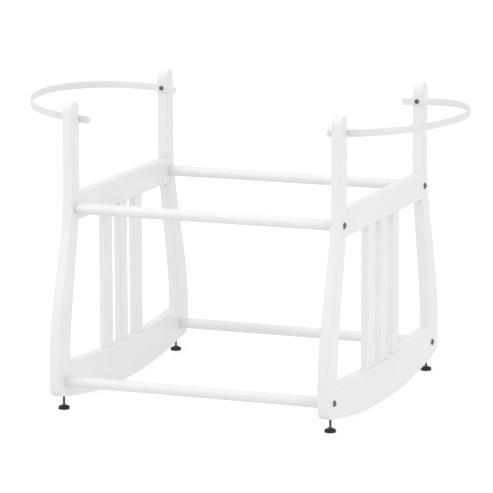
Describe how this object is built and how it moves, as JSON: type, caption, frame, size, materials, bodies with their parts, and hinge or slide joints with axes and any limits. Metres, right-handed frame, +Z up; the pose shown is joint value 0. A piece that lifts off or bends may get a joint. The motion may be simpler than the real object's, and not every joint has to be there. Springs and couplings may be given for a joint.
{
  "type": "bassinet rocking stand",
  "caption": "White wooden rocking stand for a bassinet: slatted end panels on rockers, round tie rails, swinging band hoops at the posts and levelling feet.",
  "frame": {"origin": "on the floor, under the middle of the stand", "axes": "+X along the round rails towards the right panel, +Y towards the back, +Z up"},
  "size_m": [1.014, 0.757, 0.6849],
  "materials": {
    "painted_wood": "white semi-gloss lacquer on hardwood",
    "beech_dowel": "bare fluted beech",
    "painted_band": "white powder coat on steel strip",
    "dark_fastener": "dark nickel plated steel",
    "zinc_steel": "bright zinc plated steel",
    "brass_insert": "turned brass",
    "clear_nylon": "natural nylon",
    "black_rubber": "moulded black rubber"
  },
  "bodies": {
    "frame": {"left_front_leg": "painted_wood", "left_back_leg": "painted_wood", "left_top_rail": "painted_wood", "left_rocker": "painted_wood", "left_slat_1": "painted_wood", "left_slat_2": "painted_wood", "left_slat_3": "painted_wood", "left_top_rail_dowels": "beech_dowel", "left_rocker_dowels": "beech_dowel", "left_hoop_screws": "dark_fastener", "left_hoop_washers": "clear_nylon", "left_hoop_inserts": "brass_insert", "left_upper_rail_bolts": "dark_fastener", "left_lower_rail_bolts": "dark_fastener", "right_front_leg": "painted_wood", "right_back_leg": "painted_wood", "right_top_rail": "painted_wood", "right_rocker": "painted_wood", "right_slat_1": "painted_wood", "right_slat_2": "painted_wood", "right_slat_3": "painted_wood", "right_top_rail_dowels": "beech_dowel", "right_rocker_dowels": "beech_dowel", "right_hoop_screws": "dark_fastener", "right_hoop_washers": "clear_nylon", "right_hoop_inserts": "brass_insert", "right_upper_rail_bolts": "dark_fastener", "right_lower_rail_bolts": "dark_fastener", "front_upper_rail": "painted_wood", "front_upper_rail_nuts": "zinc_steel", "back_upper_rail": "painted_wood", "back_upper_rail_nuts": "zinc_steel", "front_lower_rail": "painted_wood", "front_lower_rail_nuts": "zinc_steel", "back_lower_rail": "painted_wood", "back_lower_rail_nuts": "zinc_steel", "left_front_foot_insert": "brass_insert", "left_back_foot_insert": "brass_insert", "right_front_foot_insert": "brass_insert", "right_back_foot_insert": "brass_insert"},
    "hoop_left": {"left_hoop": "painted_band"},
    "hoop_right": {"right_hoop": "painted_band"},
    "foot_left_front": {"left_front_foot_pad": "black_rubber"},
    "stem_left_front": {"left_front_foot_stem": "zinc_steel"},
    "foot_left_back": {"left_back_foot_pad": "black_rubber"},
    "stem_left_back": {"left_back_foot_stem": "zinc_steel"},
    "foot_right_front": {"right_front_foot_pad": "black_rubber"},
    "stem_right_front": {"right_front_foot_stem": "zinc_steel"},
    "foot_right_back": {"right_back_foot_pad": "black_rubber"},
    "stem_right_back": {"right_back_foot_stem": "zinc_steel"}
  },
  "joints": [
    {"name": "hoop_left_tilt", "type": "hinge", "parent": "frame", "child": "hoop_left", "pos_m": [-0.315, 0, 0.643], "axis": [0, 1, 0], "range_deg": [-80, 175]},
    {"name": "hoop_right_tilt", "type": "hinge", "parent": "frame", "child": "hoop_right", "pos_m": [0.315, 0, 0.643], "axis": [0, -1, 0], "range_deg": [-78, 177]},
    {"name": "foot_left_front_height", "type": "slide", "parent": "frame", "child": "foot_left_front", "axis": [0, 0, 1], "range_m": [-0.006, 0.012]},
    {"name": "stem_left_front_turn", "type": "hinge", "parent": "foot_left_front", "child": "stem_left_front", "pos_m": [-0.315, -0.328, 0.02], "axis": [0, 0, 1], "range_deg": [-2161, 4321]},
    {"name": "foot_left_back_height", "type": "slide", "parent": "frame", "child": "foot_left_back", "axis": [0, 0, 1], "range_m": [-0.006, 0.012]},
    {"name": "stem_left_back_turn", "type": "hinge", "parent": "foot_left_back", "child": "stem_left_back", "pos_m": [-0.315, 0.328, 0.02], "axis": [0, 0, 1], "range_deg": [-2161, 4321]},
    {"name": "foot_right_front_height", "type": "slide", "parent": "frame", "child": "foot_right_front", "axis": [0, 0, 1], "range_m": [-0.006, 0.012]},
    {"name": "stem_right_front_turn", "type": "hinge", "parent": "foot_right_front", "child": "stem_right_front", "pos_m": [0.315, -0.328, 0.02], "axis": [0, 0, 1], "range_deg": [-2161, 4321]},
    {"name": "foot_right_back_height", "type": "slide", "parent": "frame", "child": "foot_right_back", "axis": [0, 0, 1], "range_m": [-0.006, 0.012]},
    {"name": "stem_right_back_turn", "type": "hinge", "parent": "foot_right_back", "child": "stem_right_back", "pos_m": [0.315, 0.328, 0.02], "axis": [0, 0, 1], "range_deg": [-2161, 4321]}
  ],
  "couplings": [
    {"joint": "stem_left_front_turn", "follows": "foot_left_front_height", "rad_per_m": 6283.2},
    {"joint": "stem_left_back_turn", "follows": "foot_left_back_height", "rad_per_m": 6283.2},
    {"joint": "stem_right_front_turn", "follows": "foot_right_front_height", "rad_per_m": 6283.2},
    {"joint": "stem_right_back_turn", "follows": "foot_right_back_height", "rad_per_m": 6283.2}
  ]
}
